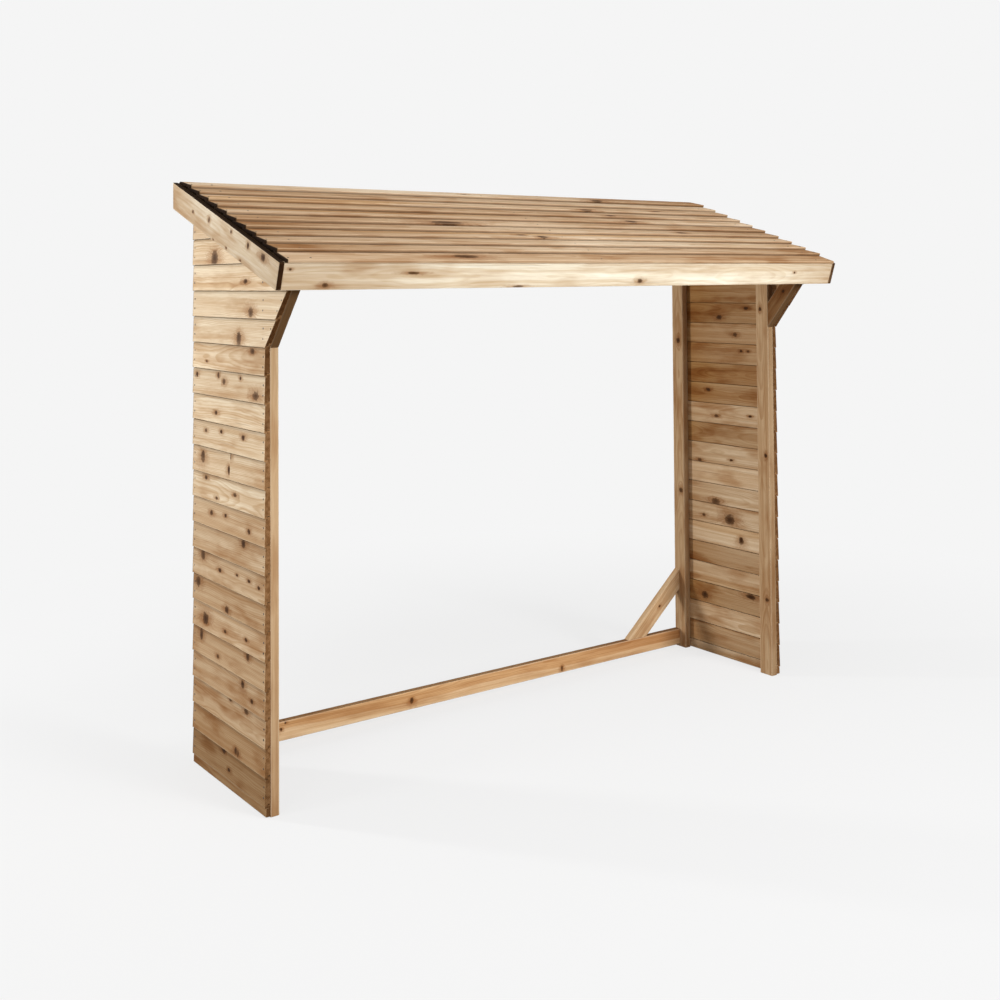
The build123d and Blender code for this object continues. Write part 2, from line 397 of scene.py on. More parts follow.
def branch_knots():
    """Knots. The distance from the branch's own axis over its radius is 1 at its bark: the knot has a dark
    core, its own fine rings inside, a dark rim at 1, and a warm stain that fades outside it, longer along
    the grain. How dark each knot is comes in where the wood is coloured."""
    takes = [("Trunk", "Vector", None), ("Branch", "Vector", None)]
    tree, given, result = node_group("branch_knots", takes, ("Knot", "Core", "Rim", "Stain", "Inner Ring"))
    away = add(tree, "ShaderNodeSeparateXYZ", {0: given["Branch"]}).outputs
    branch = math_of(tree, "MAXIMUM", away[2], smallest_branch)
    rough = cloud(tree, given["Trunk"], (90, 150, 150), 2.0)
    uneven = math_of(tree, "MULTIPLY_ADD", rough, 0.9, 0.55)

    def distance(stretch):
        """How many of the branch's radii away a place is, with its shape stretched along the grain."""
        along = math_of(tree, "POWER", math_of(tree, "DIVIDE", away[0], stretch), 2.0)
        span = math_of(tree, "SQRT", math_of(tree, "ADD", along, math_of(tree, "POWER", away[1], 2.0)))
        return product(tree, math_of(tree, "DIVIDE", span, branch), uneven)

    near = distance(1.15)
    inner_rings = 3.3
    give(tree, result, {
        "Knot": rise(tree, near, 0.55, 1.5, 1.0, 0.0),
        "Core": rise(tree, near, 0.2, 0.95, 1.0, 0.0),
        "Rim": product(tree, rise(tree, near, 0.6, 0.95), rise(tree, near, 0.98, 1.4, 1.0, 0.0)),
        "Stain": rise(tree, distance(1.9), 0.7, 2.9, 1.0, 0.0),
        "Inner Ring": math_of(tree, "FRACT", product(tree, near, inner_rings)),
    })
    return tree


def stained_softwood():
    """The colour, roughness and relief of treated softwood: early wood and late wood, darker heartwood, broad
    streaks and fine fibres, patches where the stain sank in, knots, each as dark as a slow cloud has it, and
    their stain, grime and painted shade by the laps and in creases, cut ends, rubbed edges that also paint a
    highlight, and each stick's own level and depth of stain, which on some sticks also carries painted shade."""
    takes = [("Trunk", "Vector", None), ("Branch", "Vector", None), ("Look", "Vector", None),
             ("End Grain", "Float", 0.0), ("Grime And Shade", "Float", 0.0), ("Ring Width", "Float", 0.003),
             ("Heart Radius", "Float", 0.06), ("Early Wood", "Color", None), ("Late Tint", "Color", None),
             ("Heartwood", "Color", None), ("Cut End", "Color", None)]
    tree, given, result = node_group("stained_softwood", takes, ("Color", "Roughness", "Height"))
    look = add(tree, "ShaderNodeSeparateXYZ", {0: given["Look"]}).outputs

    def worked_out(group, *labels):
        """What another node group gives for this group's values of these names."""
        inputs = {label: given[label] for label in labels}
        return add(tree, "ShaderNodeGroup", inputs, node_tree=group).outputs

    def glaze(under, share, *tint):
        """A colour under a clear stain of this tint, by share."""
        return mix(tree, share, under, paint(*tint), "MULTIPLY")

    ring = worked_out(growth_rings(), "Trunk", "Branch", "Ring Width", "Heart Radius")
    knot = worked_out(branch_knots(), "Trunk", "Branch")
    colour = mix(tree, product(tree, ring["Heart"], 0.85), given["Early Wood"], given["Heartwood"])
    colour = mix(tree, product(tree, ring["Late"], 0.62), colour, given["Late Tint"], "MULTIPLY")
    colour = glaze(colour, rise(tree, ring["Streak"], 0.3, 0.72), 229, 215, 200)
    fibre = rise(tree, ring["Fibre"], 0.25, 0.8)
    colour = glaze(colour, fibre, 240, 234, 228)
    sunk = rise(tree, cloud(tree, given["Trunk"], (4.5, 16, 16), 3.0), 0.46, 0.68)
    sunk = product(tree, sunk, math_of(tree, "MULTIPLY_ADD", look[1], 0.55, 0.45))
    colour = glaze(colour, product(tree, sunk, 0.9), 208, 179, 146)
    colour = glaze(colour, product(tree, knot["Stain"], 0.65), 190, 152, 114)
    colour = glaze(colour, look[1], 181, 148, 108)
    heart_of_knot = mix(tree, knot["Inner Ring"], paint(96, 61, 34), paint(64, 39, 21))
    dark = rise(tree, cloud(tree, given["Trunk"], (11, 11, 11), 1.0), 0.35, 0.6, 0.72, 0.98)
    colour = mix(tree, product(tree, knot["Knot"], dark), colour, heart_of_knot)
    colour = mix(tree, product(tree, knot["Core"], product(tree, dark, 0.65)), colour, paint(34, 20, 10))
    colour = mix(tree, product(tree, knot["Rim"], product(tree, dark, 0.55)), colour, paint(42, 27, 16))
    colour = mix(tree, product(tree, ring["Check"], 0.3), colour, paint(120, 90, 62))
    # Rubbed edges turn paler: worn wood, and a painted highlight where the edges catch the light.
    rubbed = product(tree, look[2], rise(tree, ring["Streak"], 0.3, 0.7, 0.05, 0.3))
    colour = mix(tree, rubbed, colour, paint(236, 216, 186))
    cut = glaze(given["Cut End"], ring["Late"], 196, 184, 172)
    soaked = rise(tree, cloud(tree, given["Trunk"], (70, 70, 70), 2.0), 0.38, 0.66)
    cut = glaze(cut, soaked, 214, 204, 192)
    cut = glaze(cut, look[1], 139, 124, 108)
    colour = mix(tree, given["End Grain"], colour, cut)
    washed = math_of(tree, "MULTIPLY_ADD", given["End Grain"], -0.7, 1.0)
    # The grime colour: grime, the darkened start of some sticks, and painted shade in laps, creases,
    # undersides and gaps.
    colour = mix(tree, product(tree, given["Grime And Shade"], washed), colour, paint(44, 31, 20))
    level = math_of(tree, "ADD", look[0], 1.0)
    rough = math_of(tree, "MULTIPLY_ADD", ring["Late"], -0.06, 0.78)
    rough = math_of(tree, "MULTIPLY_ADD", knot["Knot"], -0.08, rough)
    relief = math_of(tree, "MULTIPLY_ADD", ring["Late"], 0.3, product(tree, fibre, 0.25))
    relief = math_of(tree, "MULTIPLY_ADD", knot["Rim"], -0.6, relief)
    give(tree, result, {
        "Color": add(tree, "ShaderNodeHueSaturation", {"Value": level, "Color": colour}).outputs[0],
        "Roughness": math_of(tree, "MULTIPLY_ADD", given["End Grain"], 0.15, rough),
        "Height": math_of(tree, "MULTIPLY_ADD", ring["Check"], -0.7, relief),
    })
    return tree


softwood_group = stained_softwood()


def blank(block):
    """This new material or world, and its node tree with nothing in it."""
    block.use_nodes = True
    block.node_tree.nodes.clear()
    return block, block.node_tree


def softwood(name, early, late, heart, cut, ring_width, heart_radius):
    """A material of treated softwood with its own colours and its own width of ring."""
    material, tree = blank(bpy.data.materials.new(name))
    inputs = {"Ring Width": ring_width, "Heart Radius": heart_radius, "Early Wood": early, "Late Tint": late,
              "Heartwood": heart, "Cut End": cut}
    for label, attribute, output in (("Trunk", "trunk", 1), ("Branch", "branch", 1), ("Look", "look", 1),
                                     ("End Grain", "end_grain", 2), ("Grime And Shade", "grime_and_shade", 2)):
        inputs[label] = add(tree, "ShaderNodeAttribute", attribute_name=attribute).outputs[output]
    wood = add(tree, "ShaderNodeGroup", inputs, node_tree=softwood_group).outputs
    bump = add(tree, "ShaderNodeBump", {"Strength": 0.45, "Distance": 0.0005, "Height": wood["Height"]})
    shader = add(tree, "ShaderNodeBsdfPrincipled", {
        "Base Color": wood["Color"],
        "Roughness": wood["Roughness"],
        "Normal": bump.outputs[0],
        "Specular IOR Level": 0.03,
    })
    add(tree, "ShaderNodeOutputMaterial", {"Surface": shader.outputs[0]})
    return material


frame_wood = softwood("frame_timber", paint(226, 199, 162), paint(210, 182, 150), paint(204, 162, 114),
                      paint(110, 80, 54), 0.0034, 0.055)
# A place this near a face counts as on it.
face_margin = 0.001


def upright(low, high, seed, tone, knots, pith, front_shade):
    """A post between these corners, with its head cut to the underside of the rafter. Front shade is how much
    painted shade darkens its front face."""
    draw = np.random.default_rng(seed)
    place = (np.zeros(3), up, right, back)
    loop = section(rectangle(low, high), timber_arris, timber_strips)
    loop[:, 3] = np.where(loop[:, 1] < low[1] + face_margin, front_shade, 0.0)
    foot = flat_cut(place, np.zeros(3), up)
    head = flat_cut(place, eaves + below_roof * rafter_depth, below_roof)
    return timber(loop, place, foot, head, draw, tone, knots, pith)


# Each post's tone, the painted shade on its front, and the knots on its inner face, as depth, height and
# radius.
post_looks = {
    "right_front_post": ((0.02, 0.4, 0.3), 0.38,
                         [(-0.126, 0.287, 0.007), (-0.129, 0.842, 0.007), (-0.108, 1.41, 0.007)]),
    "right_rear_post": ((-0.04, 0.4, 0.35), 0, [(0.362, 0.649, 0.009), (0.37, 1.274, 0.01)]),
    "left_front_post": ((-0.13, 0.4, 0.1, 0), 0, [(-0.11, 0.51, 0.006), (-0.13, 1.12, 0.006)]),
    "left_rear_post": ((0, 0.35, 0.3), 0, [(0.38, 0.42, 0.007), (0.36, 1.05, 0.006)]),
}
knot_width = 0.8
post_pith = np.array([0.07, 0.026])
for side, label in sides:
    for number, (low, high, name) in enumerate(((post_front, post_front_top, "front_post"),
                                                (post_rear, post_rear_top, "rear_post"))):
        name = f"{label}_{name}"
        tone, front_shade, marks = post_looks[name]
        knots = [(spot, low[0], depth, size, knot_width) for depth, spot, size in marks]
        stick = upright(low, high, 40 + number + 5 * side, tone, knots, low[:2] + post_pith, front_shade)
        make_piece(f"{name}_stick", [stick], frame_wood, [name], side)

# Rails. The bottom rail runs between the rear posts a little above the ground, flush with their backs, and
# the top rail between the rafters has its upper edge planed to the slope. Both are screwed to the posts.
rail_low, rail_high = (np.array(corner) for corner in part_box("rear_bottom_rail"))
top_low, top_high = (np.array(corner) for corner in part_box("rear_top_rail"))
long_pace = 0.016


def across_stick(corners, radius, parts, reach, seed, tone, knots, pith=None, shade_and_grime=None, darkened_start=0.0):
    """A stick that lies across the width, with this section in depth and height. Shade and grime says how
    much grime and painted shade lies at each place of its section, and darkened start how much of its left
    end is painted dark."""
    draw = np.random.default_rng(seed)
    place = (np.zeros(3), right, back, up)
    loop = section(corners, radius, parts)
    if shade_and_grime is not None:
        loop[:, 3] = shade_and_grime(loop[:, :2])
    low_end = flat_cut(place, right * reach[0], right)
    high_end = flat_cut(place, right * reach[1], right)
    return timber(loop, place, low_end, high_end, draw, tone, knots, pith, long_pace, darkened_start)


bottom_corners = rectangle(rail_low[1:], rail_high[1:])
rail_knots = [(-0.767, rail_low[1], 0.048, 0.003, 1.0), (-0.753, rail_low[1], 0.067, 0.003, 1.0),
              (-0.27, rail_low[1], 0.042, 0.005, 1.0), (0.397, rail_low[1], 0.027, 0.004, 1.0)]


def dusty_shaded_top(spots):
    """Dust on the upper face, where the wet lies, and painted shade there, where the roof keeps light off."""
    dust_reach, dust_and_shade = 0.0015, 0.55
    return np.where(spots[:, 1] > rail_high[2] - dust_reach, dust_and_shade, 0.0)


rail_pith = (rail_low[1] + 0.02, rail_high[2] - 0.004)
# The rail darkens towards its right end: painted shadow of the right wall.
rail_tone = (0.2, 0, 0, 0.15, 0.55)
stick = across_stick(bottom_corners, timber_arris, timber_strips, (rail_low[0], rail_high[0]), 72, rail_tone,
                     rail_knots, rail_pith, dusty_shaded_top)
make_piece("rear_bottom_rail_stick", [stick], frame_wood, ["rear_bottom_rail"])

bevel = (top_high[1] - top_low[1]) * math.tan(roof_slope)
top_corners = [(top_low[1], top_low[2]), (top_high[1], top_low[2]), (top_high[1], top_high[2]),
               (top_low[1], top_high[2] - bevel)]
top_knots = [(-0.5, top_low[1], 1.8, 0.008, 1.0), (0.4, top_low[1], 1.82, 0.006, 1.0)]
stick = across_stick(top_corners, timber_arris, timber_strips, (top_low[0], top_high[0]), 73, (0, 0.25),
                     top_knots)
make_piece("rear_top_rail_stick", [stick], frame_wood, ["rear_top_rail"])

# Braces. Short struts of the same timber: one in the right back corner from the rail to the post, and one on
# each front post out to the rafter, where it carries the front of the roof. All are cut to lie against the
# frame and nailed through their ends.
brace_lean = math.radians(41.5)
brace_width = 0.064
# Painted shade on the eaves braces' lower faces, which face the ground.
underside_shade = 0.5
corner_low, corner_high = (np.array(corner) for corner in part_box("right_corner_brace"))
eaves_low, eaves_high = (np.array(corner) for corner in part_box("right_eaves_brace"))


def corner_strut(seed):
    """The right back corner's brace: foot on the rail, plumb cut on the post."""
    draw = np.random.default_rng(seed)
    along = np.array([math.cos(brace_lean), 0, math.sin(brace_lean)])
    over = np.array([-math.sin(brace_lean), 0, math.cos(brace_lean)])
    origin = np.array([corner_low[0], 0, corner_low[2]])
    place = (origin, along, back, over)
    front, rear = corner_low[1], corner_high[1]
    loop = section(rectangle((front, -brace_width), (rear, 0)), timber_arris, timber_strips)
    foot = flat_cut(place, origin, up)
    head = flat_cut(place, corner_high, right)
    return timber(loop, place, foot, head, draw, (-0.06, 0.1), [(0.2, front, -0.03, 0.004, 1.0)],
                  (front + 0.06, -0.04))


def eaves_strut(seed):
    """The brace in front of the post: its toe against the post's face, its head under the rafter, and painted
    shade on its lower edge."""
    draw = np.random.default_rng(seed)
    along = np.array([0, -math.sin(brace_lean), math.cos(brace_lean)])
    over = np.array([0, math.cos(brace_lean), math.sin(brace_lean)])
    origin = np.array([0, post_front[1], eaves_low[2]])
    place = (origin, along, right, over)
    inner, outer = eaves_low[0], eaves_high[0]
    loop = section(rectangle((inner, 0), (outer, brace_width)), timber_arris, timber_strips)
    loop[:, 3] = np.where(loop[:, 1] < face_margin, underside_shade, 0.0)
    foot = flat_cut(place, origin, back)
    head = flat_cut(place, eaves + below_roof * rafter_depth, below_roof)
    # Its tone is dark: painted shade under the roof.
    return timber(loop, place, foot, head, draw, (-0.28, 0.85), [(0.16, inner, 0.03, 0.005, 1.0)],
                  (inner + 0.07, 0.02))


make_piece("right_corner_brace_stick", [corner_strut(81)], frame_wood, ["right_corner_brace"])
for side, label in sides:
    make_piece(f"{label}_eaves_brace_stick", [eaves_strut(84 + side)], frame_wood,
               [f"{label}_eaves_brace"], side)

# Walls. Rebated boards with flat backs, lapped up the outside of the posts over a narrow strip at the foot.
# Each is thick at its rounded lower lip, which drops over the tongue of the board below, and the boards run
# out along the eaves braces and are cut to the slope under the roof. Each is nailed twice to every support.
board_cover = 0.082
board_butt = 0.016
board_shoulder = 0.013
board_tongue = 0.008
board_lap = 0.006
board_groove = 0.002
board_round = 0.002
board_open = 0.003
board_gap = 0.0003
foot_strip = 0.027
wall_low, wall_high = (np.array(corner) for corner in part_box("right_wall_boards"))
wall_face = post_front_top[0]
panel_front, panel_back = post_front[1], wall_high[1]
brace_toe_height = eaves_low[2]
wall_top_gap = 0.002
wall_top_drop = wall_top_gap / math.cos(roof_slope)
taper = (board_butt - board_shoulder) / (board_cover - board_groove)
wall_wood = softwood("wall_boards", paint(242, 227, 200), paint(214, 190, 158), paint(226, 200, 162),
                     paint(180, 137, 94), 0.0036, 0.062)


def wall_edge(heights):
    """Where the wall's front edge is at each height: plumb on the post, forward along the brace above its
    toe, and back along the slope above that. It is the larger of the slope's line and the smaller of the
    other two."""
    brace_line = panel_front - (heights - brace_toe_height) * math.tan(brace_lean)
    slope_line = fascia_y + (heights + wall_top_drop - eaves_height) / math.tan(roof_slope)
    return np.maximum(np.minimum(panel_front, brace_line), slope_line)


wall_apex = eaves_height + (panel_back - fascia_y) * math.tan(roof_slope) - wall_top_drop
nose_height = (panel_front + brace_toe_height * math.tan(brace_lean) - fascia_y
               + (eaves_height - wall_top_drop) / math.tan(roof_slope))
nose_height /= math.tan(brace_lean) + 1 / math.tan(roof_slope)


def face_at(heights, low):
    """How thick a board is at these heights: it thins evenly from its lower lip to its shoulder."""
    return board_butt - taper * (heights - low)


def row(points, worn_and_highlit=0.0, grime_and_shade=0.0):
    """Points of a section, with how rubbed they are, which also paints a highlight, and how much grime and
    painted shade lies on them.
    """
    points = np.array(points, float).reshape(-1, 2)
    return np.column_stack([points, np.broadcast_to(worn_and_highlit, len(points)), np.broadcast_to(grime_and_shade, len(points))])


def wall_board(low, draw, tone, knots, pith, end_stain):
    """One board that shows its cover above this height. Its lip and its shoulder are quarter circles."""
    apex_gap, inset, kink_room, face_inset, shaded = 0.002, 0.0015, 0.004, 0.002, 0.007
    reach = min(low + board_cover + board_lap, wall_apex - apex_gap)
    shelf = min(low + board_cover - board_groove, reach - inset)
    sill = low + board_lap + board_open
    kinks = [height for height in (brace_toe_height, nose_height)
             if sill + kink_room < height < shelf - kink_room]
    levels = np.sort(np.concatenate([np.linspace(sill + inset, reach - inset, 5), kinks]))
    inner = np.column_stack([levels[::-1], np.full(len(levels), wall_face)])
    face_low, face_high = low + board_round + face_inset, shelf - board_round - face_inset
    under_lip = shelf - board_round - shaded
    faces = np.concatenate([np.linspace(face_low, face_high, 6), kinks])
    faces = np.sort(np.append(faces, under_lip) if under_lip > face_low else faces)
    outer = np.column_stack([faces, wall_face + face_at(faces, low)])
    turn = np.linspace(0, math.pi / 2, 4)
    cosine, sine = board_round * np.cos(turn), board_round * np.sin(turn)
    lip = np.column_stack([low + board_round - cosine, wall_face + board_butt - board_round + sine])
    shoulder = np.column_stack([shelf - board_round + sine,
                                wall_face + face_at(shelf, low) - board_round + cosine])
    height_share = np.clip((faces - low) / board_cover, 0, 1)
    # The face darkens towards its top and under the lip of the board above: painted shade.
    face_shade, lip_shade = 0.1, 0.22
    shade_on_face = face_shade * height_share ** 2 + lip_shade * (faces > under_lip + face_margin)
    # Grime and painted shade lie in the groove, gap and rebate where the boards lap.
    loop = np.concatenate([
        row(inner),
        row((sill, wall_face)),
        row((sill, wall_face + board_tongue + board_gap), 0, 0.2),
        row((low, wall_face + board_tongue + board_gap), 0, 0.3),
        row(lip, 1, (0.3, 0.1, 0, 0)),
        row(outer, 0, shade_on_face),
        row(shoulder, 0, (0.3, 0.35, 0.4, 0.45)),
        row((shelf, wall_face + board_tongue), 0, 0.45),
        row((reach, wall_face + board_tongue), 0, 0.2),
        row((reach, wall_face), 0, 0),
    ])
    place = (np.zeros(3), back, up, right)
    jut = draw.uniform(-0.001, 0.0006)
    tail = draw.uniform(-0.001, 0.0)

    def front_end(spots):
        return wall_edge(spots[:, 0]) + jut

    def back_end(spots):
        return np.full(len(spots), panel_back + tail)

    return timber(loop, place, front_end, back_end, draw, tone, knots, pith, end_stain=end_stain)


def foot_board(draw, tone):
    """The narrow strip under the first board, with the same shoulder and tongue at its top."""
    low, top = wall_low[2], wall_low[2] + foot_strip
    tongue, shoulder = wall_face + board_tongue, wall_face + board_shoulder
    foot_face = board_shoulder + taper * (foot_strip - board_groove)
    corners = [(low, wall_face), (top + board_lap, wall_face), (top + board_lap, tongue),
               (top - board_groove, tongue), (top - board_groove, shoulder), (low, wall_face + foot_face)]
    place = (np.zeros(3), back, up, right)
    foot_arris = 0.0006
    loop = section(corners, foot_arris, (3, 1, 1, 1, 3, 2))
    front_end = flat_cut(place, back * panel_front, back)
    back_end = flat_cut(place, back * panel_back, back)
    return timber(loop, place, front_end, back_end, draw, tone, [])


# How deep the stain went into each board, from the ground up; the left wall's boards also darken towards the
# ground with painted shade. Where there are two values, they go from the board's front to its back. The knots
# show on the left wall's outside and on the right wall's inside, as depth, height, radius and, where it isn't
# the usual, how far each is drawn out.
left_stain_and_shade = (0.85, 0.8, 0.6, 0.6, 0.66, 0.5, 0.65, 0.52, 0.5, 0.54, 0.12, 0.3, (0, 0.3), 0, 0.16, (0.5, 0),
              0.08, 0.05, 0, 0.04, 0.25, 0.2, 0.2)
right_stain = (0.55, 0.35, 0.67, 0.36, 0.55, 0.25, 0.34, 0.36, 0.24, 0.4, 0.65, 0.4, 0.7, 0.75, 0.65, 0.6,
               0.7, 0.7, 0.8, 0.8, 0.8, 0.8, 0.8)
left_knots = (
    (0.225, 1.611, 0.014, 1.3), (-0.01, 1.534, 0.006), (-0.05, 1.441, 0.008, 1.6), (0.038, 1.363, 0.01, 1.2),
    (-0.057, 1.329, 0.007, 1.6), (0.29, 1.284, 0.003), (0.375, 1.242, 0.004), (0.2, 1.248, 0.004),
    (0.154, 1.229, 0.005), (0.03, 1.248, 0.003), (-0.085, 1.199, 0.008, 2.0), (0.217, 1.127, 0.005),
    (0.299, 1.067, 0.004), (0.177, 1.074, 0.004), (0.009, 1.071, 0.005), (0.324, 0.983, 0.011, 1.1),
    (0.299, 0.919, 0.005), (0.21, 0.865, 0.004), (0.07, 0.892, 0.005), (0.254, 0.813, 0.005),
    (0.143, 0.819, 0.004), (-0.034, 0.797, 0.004), (0.01, 0.758, 0.006), (0.324, 0.674, 0.01, 1.2),
    (0.186, 0.648, 0.005), (0.055, 0.656, 0.003), (-0.033, 0.654, 0.004), (0.366, 0.582, 0.011, 1.3),
    (0.131, 0.537, 0.006), (0.303, 0.475, 0.013, 1.2), (0.147, 0.469, 0.004), (-0.011, 0.477, 0.004),
    (0.337, 0.424, 0.008, 1.2), (0.202, 0.382, 0.004), (-0.022, 0.435, 0.005), (0.159, 0.105, 0.006),
    (0.117, 0.06, 0.004), (0.052, 0.129, 0.004), (0.112, 1.003, 0.007, 1.2), (0.115, 0.962, 0.006, 1.2),
    (0.017, 0.34, 0.009, 1.0), (0.109, 0.274, 0.004), (-0.009, 0.268, 0.006), (-0.053, 0.307, 0.004),
    (0.064, 0.131, 0.004), (-0.104, 0.646, 0.004),
)
right_knots = (
    (0.183, 0.623, 0.011, 1.5), (0.104, 0.557, 0.013, 1.5), (0.254, 0.559, 0.004), (0.276, 0.783, 0.005),
    (0.09, 0.799, 0.004), (0.039, 0.488, 0.005), (0.253, 0.234, 0.009, 1.5), (-0.012, 0.272, 0.008, 2.4),
    (-0.002, 1.411, 0.005), (0.151, 1.374, 0.006), (0.06, 1.305, 0.005), (0.027, 1.24, 0.003),
    (-0.012, 1.24, 0.003), (0.173, 0.971, 0.005), (-0.019, 0.983, 0.004), (0.22, 1.075, 0.005),
)
usual_drawn_out = 1.8
# The foot strip on the left is darker: painted shade near the ground.
foot_shade = {1: 0, -1: -0.25}
# The left boards' cut ends darken from this height up, over this much: painted shade where they face down
# under the roof.
ends_shaded_from, ends_shaded_over = 1.0, 0.3
# How far the nails lie above a board's foot, and in from the wall's front, its back and its slanted edge.
nail_rows = (0.025, 0.055)
nail_from_front, nail_from_back, nail_from_slant = 0.0135, 0.014, 0.012
nail_room, overhang_to_nail = 0.008, 0.03
nail_places = []
for side, label, stains_and_shade, marks, depth in ((1, "right", right_stain, right_knots, 0.0),
                                          (-1, "left", left_stain_and_shade, left_knots, board_butt)):
    draw = np.random.default_rng(100 + side)
    boards = [foot_board(draw, (foot_shade[side], stains_and_shade[0]))]
    low = wall_low[2] + foot_strip
    for number, stain in enumerate(stains_and_shade):
        if low + board_lap + board_open >= wall_apex:
            break
        knots = [(spot, height, wall_face + depth, size, *(drawn_out or [usual_drawn_out]))
                 for spot, height, size, *drawn_out in marks if low <= height < low + board_cover]
        pith_depth = draw.uniform(*pith_depths)
        pith = (low + draw.uniform(-0.05, 0.13), wall_face + 0.006 - pith_depth)
        wander = draw.uniform(-0.03, 0.03)
        if side == 1:
            # The right boards darken towards their backs: painted shadow of the rear post.
            tone = (0.24 - 0.3 * stain + wander, stain + 0.1, stain + 0.15, stain + 0.4)
            end_stain = 0.87
        else:
            # The lowest left boards are darker still: painted shade near the ground.
            tone = (-0.28 * 0.3 ** number + wander, *np.atleast_1d(stain))
            end_stain = 0.5 + 0.5 * min(max((low - ends_shaded_from) / ends_shaded_over, 0), 1)
        boards.append(wall_board(low, draw, tone, knots, pith, end_stain))
        for height in (low + above for above in nail_rows):
            edge = float(wall_edge(np.array(height)))
            spots = [panel_front + nail_from_front, panel_back - nail_from_back]
            if edge < panel_front - overhang_to_nail:
                spots.append(edge + nail_from_slant)
            nail_places += [(side * (wall_face + face_at(height, low)), spot, height, side, 0, 0)
                            for spot in spots if spot > edge + nail_room]
        low += board_cover
    make_piece(f"{label}_wall_cladding", boards, wall_wood, [f"{label}_wall_boards"], side)


def nail_heads(name, places):
    """Nail heads driven home so that a low dome shows. Rings of points stand round each place's outward
    direction at these radii and heights, closed by one point above and one below."""
    places = np.array(places, float)
    spots, outward = places[:, :3], unit(places[:, 3:])
    off_axis = np.array([0.31, 0.52, 0.79])
    first = unit(np.cross(outward, off_axis))
    second = np.cross(outward, first)
    radii = np.array([0.0032, 0.0032, 0.0022])
    heights = np.array([-0.0006, 0.0002, 0.0006])
    crown, ring_points = 0.0008, 8
    angle = np.arange(ring_points) * math.tau / ring_points
    ring = (first[:, None, None] * np.cos(angle)[:, None] + second[:, None, None] * np.sin(angle)[:, None])
    ring = ring * radii[:, None, None] + outward[:, None, None] * heights[:, None, None]
    rings = (spots[:, None, None] + ring).reshape(len(spots), -1, 3)
    tips = spots[:, None] + outward[:, None] * np.array([heights[0], crown])[:, None]
    points = np.concatenate([rings, tips], 1)
    quads, fans = tube_faces(len(radii), ring_points)
    offset = (np.arange(len(spots)) * points.shape[1])[:, None, None]
    faces = (quads + offset).reshape(-1, 4).tolist() + (fans + offset).reshape(-1, 3).tolist()
    mesh = bpy.data.meshes.new(name)
    mesh.from_pydata(points.reshape(-1, 3).tolist(), [], faces)
    mesh.shade_smooth()
    mesh.materials.append(nail_steel)
    piece = new_object(name, mesh)
    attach(piece, "root")


def dull_steel():
    """A material of plated steel gone dull, with brown stain creeping in from the wood round it."""
    material, tree = blank(bpy.data.materials.new("nail_steel"))
    place = add(tree, "ShaderNodeTexCoord").outputs["Object"]
    spread = cloud(tree, place, (700, 700, 700), 2.0)
    colour = mix(tree, rise(tree, spread, 0.4, 0.6), paint(58, 47, 38), paint(40, 30, 23))
    shader = add(tree, "ShaderNodeBsdfPrincipled", {
        "Base Color": colour,
        "Roughness": rise(tree, spread, 0.35, 0.65, 0.45, 0.7),
        "Metallic": 0.3,
    })
    add(tree, "ShaderNodeOutputMaterial", {"Surface": shader.outputs[0]})
    return material


nail_steel = dull_steel()
nail_heads("wall_nail_heads", nail_places)

# Rafters and bearers. Three rafters carry the roof, one over each pair of posts and one midway along the top
# rail and the fascia, and a bearer inside each barge board takes the ends of the roof boards.
trim_thickness = 0.016
top_margin = 0.0008


def sloped_stick(x_from, x_to, depths, radius, start_along, y_back, seed, tone, knots, pith=None, shade_and_grime=None,
                 end_stain=None):
    """A stick that follows the slope, from a cut square to it to a plumb cut at the back. Shade and grime
    says how much grime and painted shade lies at each place of its section, and end stain how deep its cut
    ends drank the stain."""
    draw = np.random.default_rng(seed)
    place = (eaves, up_slope, right, below_roof)
    loop = section(rectangle((x_from, depths[0]), (x_to, depths[1])), radius, (2, 6, 2, 6))
    if shade_and_grime is not None:
        loop[:, 3] = shade_and_grime(loop[:, :2])
    square = flat_cut(place, eaves + up_slope * start_along, up_slope)
    plumb = flat_cut(place, back * y_back, back)
    return timber(loop, place, square, plumb, draw, tone, knots, pith, end_stain=end_stain)


def shaded_top(spots):
    """Painted shade on a sloped stick's top edge, in the dark gap under the roof boards' ends."""
    return np.where(spots[:, 1] < top_margin, 1.0, 0.0)


slope_seeds = {"right_rafter": 120, "left_rafter": 121, "middle_rafter": 122, "right_roof_bearer": 123,
               "left_roof_bearer": 124}
for node, seed in slope_seeds.items():
    low, high = (np.array(corner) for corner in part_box(node))
    knots = [(0.3, low[0], 0.03, 0.008, 1.0), (0.62, low[0], 0.04, 0.006, 1.0)]
    stick = sloped_stick(low[0], high[0], (0, rafter_depth), timber_arris, trim_thickness, high[1], seed,
                         (-0.05, 0.3), knots, shade_and_grime=shaded_top if "bearer" in node else None)
    make_piece(f"{node}_stick", [stick], frame_wood, [node])

# Eaves trim. A fascia board nailed over the front ends of the rafters, square to the slope, and a barge board
# nailed over each end of the roof, whose top edge lies in line with the tops of the rafters.
trim_height = 0.081
trim_arris = 0.0015
trim_wood = softwood("roof_trim", paint(253, 248, 230), paint(234, 220, 199), paint(243, 230, 205),
                     paint(108, 81, 57), 0.0042, 0.05)
fascia_low, fascia_high = (np.array(corner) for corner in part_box("front_fascia"))


def roof_place(along, above):
    """Depth and height of a place this far up the slope, and this far square above the rafters' tops."""
    spot = eaves + up_slope * along - below_roof * above
    return (spot[1], spot[2])


fascia_corners = [roof_place(0, 0), roof_place(0, -trim_height), roof_place(trim_thickness, -trim_height),
                  roof_place(trim_thickness, 0)]
